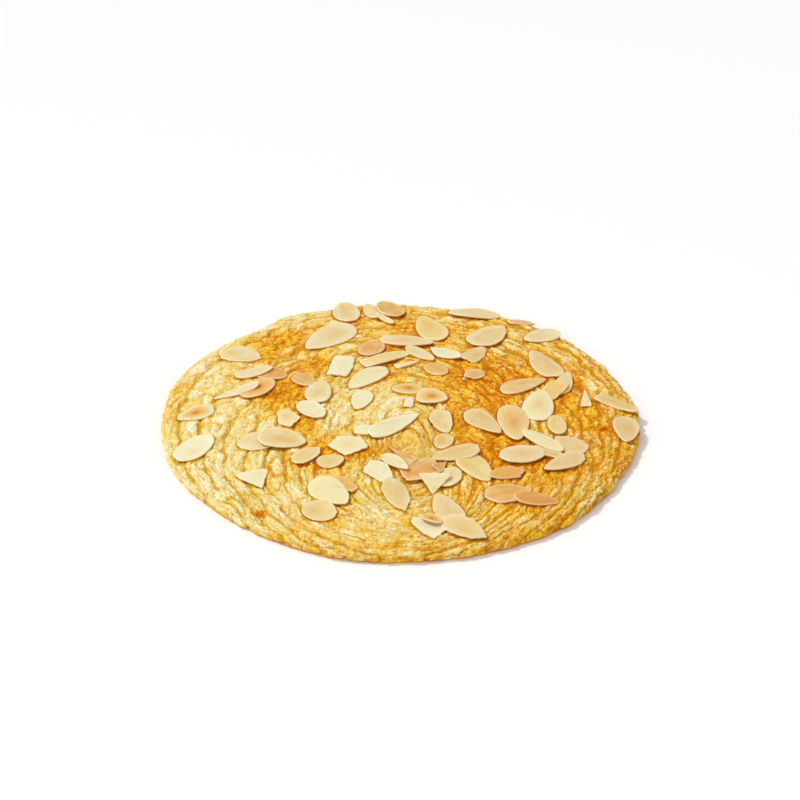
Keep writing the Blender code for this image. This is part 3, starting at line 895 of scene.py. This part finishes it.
class AlmondSlice:
    """One slice, lying on what is under it."""

    def __init__(self, number, kind, across, back, length, width, turn, toast, mark):
        self.kind = kind
        self.draw = random.Random(FIRST_SLICE_SEED + number)
        self.middle = Vector((across, back)) * MM
        self.half = Vector((length, width)) * MM / 2
        self.turn = math.radians(turn)
        self.toast = toast
        self.mark = mark
        self.spread = slice_spread(kind)
        self.normal = Vector((0.0, 0.0, 1.0))
        self.base = 0.0

    def outline(self, angle):
        """A point of the outline in shares of the half length and half width."""
        low, high, half_width = self.spread
        edge = slice_edge(self.kind, angle)
        return Vector((2 * (edge.x - low) / (high - low) - 1, edge.y / half_width))

    def spot(self, share):
        """The point at these shares of the half length and half width, seen from above."""
        offset = Vector((share.x * self.half.x, share.y * self.half.y))
        offset.rotate(Matrix.Rotation(self.turn, 2))
        return self.middle + offset

    def top_at(self, point):
        """Height of the slice's upper face over a point, or None outside its outline."""
        away = point - self.middle
        share = away.copy()
        share.rotate(Matrix.Rotation(-self.turn, 2))
        if (share.x / self.half.x) ** 2 + (share.y / self.half.y) ** 2 > 1:
            return None
        slope = -(self.normal.x * away.x + self.normal.y * away.y) / self.normal.z
        return self.base + slope + SLICE_THICKNESS

    def lie_on(self, surface, others):
        """Rests the slice on the dough and on the slices already there."""
        spots = [self.middle]
        for ring in SUPPORT_RINGS:
            corners = (math.tau * (corner + 0.5) / SUPPORT_CORNERS for corner in range(SUPPORT_CORNERS))
            spots += [self.spot(self.outline(angle) * ring) for angle in corners]
        heights = []
        for spot in spots:
            hit = surface.ray_cast(Vector((spot.x, spot.y, DROP_HEIGHT)), DOWN)[0]
            found = [hit.z] if hit else []
            found += [top for top in (other.top_at(spot) for other in others) if top is not None]
            if found:
                heights.append((spot - self.middle, max(found)))
        rows = np.array([(1.0, away.x, away.y) for away, _ in heights])
        tops = np.array([top for _, top in heights])
        level, slope_x, slope_y = np.linalg.lstsq(rows, tops, rcond=None)[0]
        steepness = max(math.hypot(slope_x, slope_y) / MOST_TILT, 1.0)
        slope = Vector((slope_x, slope_y)) / steepness
        clear = max(top - level - slope.dot(away) for away, top in heights)
        self.normal = Vector((-slope.x, -slope.y, 1.0)).normalized()
        self.base = level + clear - SLICE_SINK

    def shaped(self):
        """The slice's corners, slightly bent and uneven, and what its finish needs at each.

        That is the place in the slice, a seed, the slice's toast and mark, and how far out the corner lies:
        1 at the rim and up to 2 round the underside.
        """
        draw = self.draw
        bend = [draw.uniform(-SLICE_BEND, SLICE_BEND) * MM for _ in range(3)]
        lean = Vector((draw.uniform(-SLICE_LEAN, SLICE_LEAN), draw.uniform(-SLICE_LEAN, SLICE_LEAN))) * MM
        seed = draw.uniform(0, 50)
        ragged = BROKEN_RAGGED if SLICE_KINDS[self.kind][2] else WHOLE_RAGGED
        tilt = Vector((0.0, 0.0, 1.0)).rotation_difference(self.normal).to_matrix().to_4x4()
        lie = Matrix.Translation((self.middle.x, self.middle.y, self.base)) @ tilt
        lie = lie @ Matrix.Rotation(self.turn, 4, "Z")
        corners, insides = [], []

        def put(edge, share, up):
            x, y = edge.x * share, edge.y * share
            bent = bend[0] * (x * x - 0.3) + bend[1] * y * y + bend[2] * x * y
            away = Vector((x * self.half.x, y * self.half.y)) + lean * (up - 0.5)
            corners.append(lie @ Vector((away.x, away.y, SLICE_THICKNESS * up + bent)))
            insides.append((x, y, seed, self.toast, self.mark, share + 1 - up))

        put(Vector((1.0, 0.0)), 0.0, 1.0)
        for share, up in SLICE_PROFILE:
            for corner in range(SLICE_CORNERS):
                edge = self.outline(math.tau * corner / SLICE_CORNERS)
                uneven = UNEVEN_EDGE * noise.noise(Vector((edge.x * 2.5, edge.y * 2.5, seed)))
                uneven += ragged * noise.noise(Vector((edge.x * 5, edge.y * 5, seed)))
                put(edge * (1 + uneven), share, up)
        put(Vector((1.0, 0.0)), 0.0, 0.0)
        return corners, insides


def slice_faces():
    """The faces between a slice's corners: a fan at the middle of each side and rings of quads between."""
    rings = len(SLICE_PROFILE)
    last = 1 + rings * SLICE_CORNERS
    faces = []
    for corner in range(SLICE_CORNERS):
        after = (corner + 1) % SLICE_CORNERS
        faces.append((0, 1 + corner, 1 + after))
        for ring in range(rings - 1):
            here, out = 1 + ring * SLICE_CORNERS, 1 + (ring + 1) * SLICE_CORNERS
            faces.append((here + corner, out + corner, out + after, here + after))
        here = 1 + (rings - 1) * SLICE_CORNERS
        faces.append((here + corner, last, here + after))
    return faces


def laid_slices():
    """All the slices, each laid on the dough and on the earlier ones that it crosses."""
    surface = BVHTree.FromObject(dough, bpy.context.evaluated_depsgraph_get())
    laid = []
    for number, row in enumerate(SLICES):
        almond_slice = AlmondSlice(number, *row)
        almond_slice.lie_on(surface, laid)
        laid.append(almond_slice)
    return laid


def paint_gap_shade(laid):
    """Darkens the crust along the slices' edges as painted shade, by raising the dough's groove value there.
    """
    mesh = dough.data
    places = vertex_values(mesh, "position", 3)
    tops = np.flatnonzero(places[:, 2] > GAP_LOWEST)
    plan = places[tops, :2]
    groove = vertex_values(mesh, "groove", 1)[:, 0]
    for almond_slice in laid:
        angles = (math.tau * corner / GAP_CORNERS for corner in range(GAP_CORNERS))
        edge = np.array([almond_slice.spot(almond_slice.outline(angle))[:] for angle in angles])
        near = np.flatnonzero(np.abs(plan - edge.mean(0)).max(1) < almond_slice.half.x + 3 * GAP_REACH)
        away = np.linalg.norm(plan[near, None] - edge[None], axis=2).min(1)
        # Painted shade: the groove value darkens only the crust's colour, since the dough's shape is already
        # made.
        groove[tops[near]] += GAP_SHADE * np.exp(-((away / GAP_REACH) ** 2))
    mesh.attributes["groove"].data.foreach_set("value", groove.clip(0.0, 1.0))


def slices_piece(laid):
    """The visible object of all the slices."""
    shapes = [almond_slice.shaped() for almond_slice in laid]
    places = np.array([[corner[:] for corner in corners] for corners, _ in shapes])
    return almond_piece("almond_slices", places, slice_faces(), np.array([insides for _, insides in shapes]))


ALMOND_EDGE = colour(252, 240, 204)
ALMOND_CREAM = colour(232, 226, 188)
ALMOND_TAN = colour(224, 192, 122)
ALMOND_DULL = colour(206, 180, 126)
ALMOND_GOLDEN = colour(236, 208, 110)
ALMOND_PINK = colour(224, 192, 148)
ALMOND_TOASTED = colour(214, 140, 50)
ALMOND_AMBER = colour(230, 172, 66)
ALMOND_MARK = colour(192, 104, 28)


def toasted_almond():
    """Satin cream to toasted tan, faint lines, a browned middle, a rim paler partly as painted highlight, a
    foot in painted shade.
    """
    made = Finish("sliced_almond")
    here = made.add("ShaderNodeTexCoord", "Object")
    inside = made.attribute("in_slice", "Vector")
    seed = made.value("ShaderNodeSeparateXYZ", "Z", Vector=inside)
    look = made.add("ShaderNodeSeparateXYZ", "X", Vector=made.attribute("slice_look", "Vector")).node
    toast, mark, reach = (Value(made, look.outputs[part]) for part in "XYZ")

    stretched = made.add("ShaderNodeMapping", "Vector", {"vector_type": "POINT"}, Vector=inside,
                         Scale=(0.7, 5.0, 1.0))
    lines = made.noise(stretched, 2.0, 3.0, 0.6)
    cloud = made.noise(inside, 1.3, 2.0)
    fine = made.noise(here, 1300, 2.0)

    off_middle = reach + 0.5 * (cloud - 0.5) + 0.2 * (lines - 0.5)
    warmth = toast + 0.9 * (cloud - 0.5) + 0.6 * (lines - 0.5)
    face = made.mix(warmth.between(0.0, 0.6), ALMOND_CREAM, ALMOND_TAN)
    tint = made.value("ShaderNodeTexWhiteNoise", "Value", {"noise_dimensions": "1D"}, W=seed)
    face = made.mix(0.6 * tint.between(0.5, 1.0) * toast.between(0.0, 0.4), face, ALMOND_PINK)
    face = made.mix(warmth.between(0.5, 1.0), face, ALMOND_TOASTED)
    golden = made.value("ShaderNodeTexWhiteNoise", "Value", {"noise_dimensions": "1D"}, W=seed + 7)
    face = made.mix(0.35 * golden.between(0.6, 1.0), face, ALMOND_GOLDEN)
    dull = (0.08 + 0.14 * toast.between(0.1, 0.5)) * (1 - off_middle.between(0.40, 0.85))
    face = made.mix(dull, face, ALMOND_DULL)
    face = made.mix(mark**2 * (1 - off_middle.between(0.45, 0.85)), face, ALMOND_AMBER)
    face = made.mix(0.9 * mark**2 * (1 - off_middle.between(0.10, 0.45)), face, ALMOND_MARK)
    # The rim and the edges of the faces are painted paler: partly the cut edge's own tone, partly a painted
    # highlight.
    face = made.mix(0.15 * off_middle.between(0.6, 1.0) + 0.5 * reach.between(0.92, 0.97), face, ALMOND_EDGE)
    # Painted shade: the lower part of the rim and the underside are mixed towards toasted tan.
    face = made.mix(0.7 * reach.between(1.2, 1.6), face, ALMOND_TOASTED)
    return made.finish(
        Base_Color=face,
        Roughness=0.40 + 0.2 * fine,
        Specular_IOR_Level=0.4,
        Subsurface_Weight=0.18,
        Subsurface_Scale=0.002,
        Subsurface_Radius=(1.0, 0.75, 0.45),
        Normal=made.bump(0.7 * lines + 0.3 * fine, 0.00012, 0.6),
    )


laid = laid_slices()
paint_gap_shade(laid)
almond_slices = slices_piece(laid)
almond_slices.data.materials.append(toasted_almond())
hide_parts("cookie")


# The crumbs. Slices chip as they are strewn, and their crumbs lie among them: small uneven bits, about one to
# two millimetres across. They are made of the slices' almond.

# Where crumbs were seen: place across and towards the back, and size, in millimetres.
SEEN_CRUMBS = (
    (1.0, 5.5, 1.6),
    (24.5, 21.5, 1.8),
    (23.0, 24.5, 1.3),
    (-4.0, -33.5, 1.7),
    (-7.0, -36.0, 1.3),
    (-9.5, -33.0, 1.4),
    (19.0, -38.5, 1.4),
    (-50.8, -69.0, 1.7),
    (-46.0, -12.0, 1.5),
    (3.5, -69.5, 1.2),
)

# The stray crumbs: how many are strewn, those over slices being left out again, how far out as a share of the
# outline, and their sizes in millimetres.
STRAY_CRUMBS = 16
STRAY_CRUMBS_REACH = 0.9
STRAY_CRUMB_SIZES = (0.8, 1.5)

# A crumb's width and height as shares of its length, and how deep it is sunk and dented.
CRUMB_WIDTHS = (0.55, 0.9)
CRUMB_HEIGHTS = (0.30, 0.45)
CRUMB_SINK = 0.15
CRUMB_DENT = 0.28

# A crumb's place in a slice, how toasted and how marked it is, and how far out in the slice it was.
CRUMB_IN_SLICE = (0.5, 0.0)
CRUMB_LOOK = (0.25, 0.0, 0.85)
CRUMB_SEED = 7


def stray_crumbs(draw):
    """Places and sizes of crumbs strewn evenly over the round, as rows like those of the seen ones."""
    rows = []
    for _ in range(STRAY_CRUMBS):
        angle, reach = draw.uniform(0, math.tau), STRAY_CRUMBS_REACH * math.sqrt(draw.random())
        out = OUTLINE_RADIUS * reach / MM
        rows.append((out * math.cos(angle), out * math.sin(angle), draw.uniform(*STRAY_CRUMB_SIZES)))
    return rows


def strewn_crumbs():
    """The seen crumbs and some stray ones on the bare dough: flat dented balls, each turned its own way."""
    draw = random.Random(CRUMB_SEED)
    rows = [*SEEN_CRUMBS, *stray_crumbs(draw)]
    ball = bmesh.new()
    bmesh.ops.create_icosphere(ball, subdivisions=2, radius=0.5)
    graph = bpy.context.evaluated_depsgraph_get()
    ground, cover = (BVHTree.FromObject(below, graph) for below in (dough, almond_slices))
    places, insides = [], []
    for across, back, size in rows:
        above = Vector((across * MM, back * MM, DROP_HEIGHT))
        point, normal = ground.ray_cast(above, DOWN)[:2]
        if cover.ray_cast(above, DOWN)[0]:
            continue
        shape = Vector((1.0, draw.uniform(*CRUMB_WIDTHS), draw.uniform(*CRUMB_HEIGHTS))) * size * MM
        shift = draw.uniform(0, 50)
        turn = normal.to_track_quat("Z", "Y").to_matrix().to_4x4()
        lie = Matrix.Translation(point + normal * shape.z * (0.5 - CRUMB_SINK)) @ turn
        lie = lie @ Matrix.Rotation(draw.uniform(0, math.tau), 4, "Z")
        for vertex in ball.verts:
            dent = 1 + CRUMB_DENT * noise.cell(vertex.co * 4 + Vector((0.0, 0.0, shift)))
            places.append(lie @ Vector([part * extent for part, extent in zip(vertex.co * dent, shape)]))
            insides.append((*CRUMB_IN_SLICE, shift, *CRUMB_LOOK))
    corners = len(ball.verts)
    faces = [[vertex.index for vertex in face.verts] for face in ball.faces]
    ball.free()
    places = np.array([place[:] for place in places]).reshape(-1, corners, 3)
    return almond_piece("almond_crumbs", places, faces, np.array(insides).reshape(-1, corners, 6))


almond_crumbs = strewn_crumbs()
almond_crumbs.data.materials.append(almond_slices.data.materials[0])
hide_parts("cookie")


# The studio: a plain white floor that the cookie lies on, a sun from the back left as in the photo, a broad
# soft light from the front and a bright surround. The camera looks down at the photo's angle.

FLOOR_SIZE = 3.0

SUN_DIRECTION = Vector((-0.75, 0.28, 1.05))
SUN_STRENGTH = 1.65
SUN_SPREAD = math.radians(8)
SUN_COLOUR = (0.93, 0.96, 1.0)

FILL_PLACE = Vector((-0.6, -1.0, 1.0))
FILL_POWER = 5
FILL_SIZE = 1.2

SURROUND_COLOUR = (1.0, 0.965, 0.90, 1.0)
SURROUND_STRENGTH = 0.64

CAMERA_DISTANCE = 0.850
CAMERA_ELEVATION = math.radians(31)
CAMERA_AIM_ABOVE = math.radians(0.69)
CAMERA_LENS = 102.0

floor_shape = bmesh.new()
bmesh.ops.create_grid(floor_shape, x_segments=1, y_segments=1, size=FLOOR_SIZE / 2)
floor_mesh = bpy.data.meshes.new("floor")
floor_shape.to_mesh(floor_mesh)
floor_shape.free()
floor = in_scene("floor", floor_mesh)

made = Finish("white_floor")
floor_noise = made.noise(made.add("ShaderNodeTexCoord", "Object"), 40, 2.0)
floor_mesh.materials.append(made.finish(Base_Color=(0.9, 0.9, 0.91, 1.0), Roughness=0.75 + 0.1 * floor_noise))


def aim(direction):
    """Rotation of a light that shines from this direction."""
    return direction.to_track_quat("Z", "Y").to_euler()


key = in_scene("key", bpy.data.lights.new("key", "SUN"))
key.data.energy = SUN_STRENGTH
key.data.angle = SUN_SPREAD
key.data.color = SUN_COLOUR
key.rotation_euler = aim(SUN_DIRECTION)

fill = in_scene("fill", bpy.data.lights.new("fill", "AREA"))
fill.data.energy = FILL_POWER
fill.data.size = FILL_SIZE
fill.location = FILL_PLACE
fill.rotation_euler = aim(FILL_PLACE)

world = bpy.data.worlds.new("surround")
world.use_nodes = True
background = world.node_tree.nodes["Background"]
background.inputs["Color"].default_value = SURROUND_COLOUR
background.inputs["Strength"].default_value = SURROUND_STRENGTH
bpy.context.scene.world = world
bpy.context.scene.view_settings.view_transform = "Standard"

camera = in_scene("camera", bpy.data.cameras.new("camera"))
camera.data.lens = CAMERA_LENS
camera.data.sensor_width = 36.0
camera.data.clip_start = 0.01
camera.location = CAMERA_DISTANCE * Vector((0.0, -math.cos(CAMERA_ELEVATION), math.sin(CAMERA_ELEVATION)))
camera.rotation_euler = (math.pi / 2 - CAMERA_ELEVATION + CAMERA_AIM_ABOVE, 0.0, 0.0)
bpy.context.scene.camera = camera
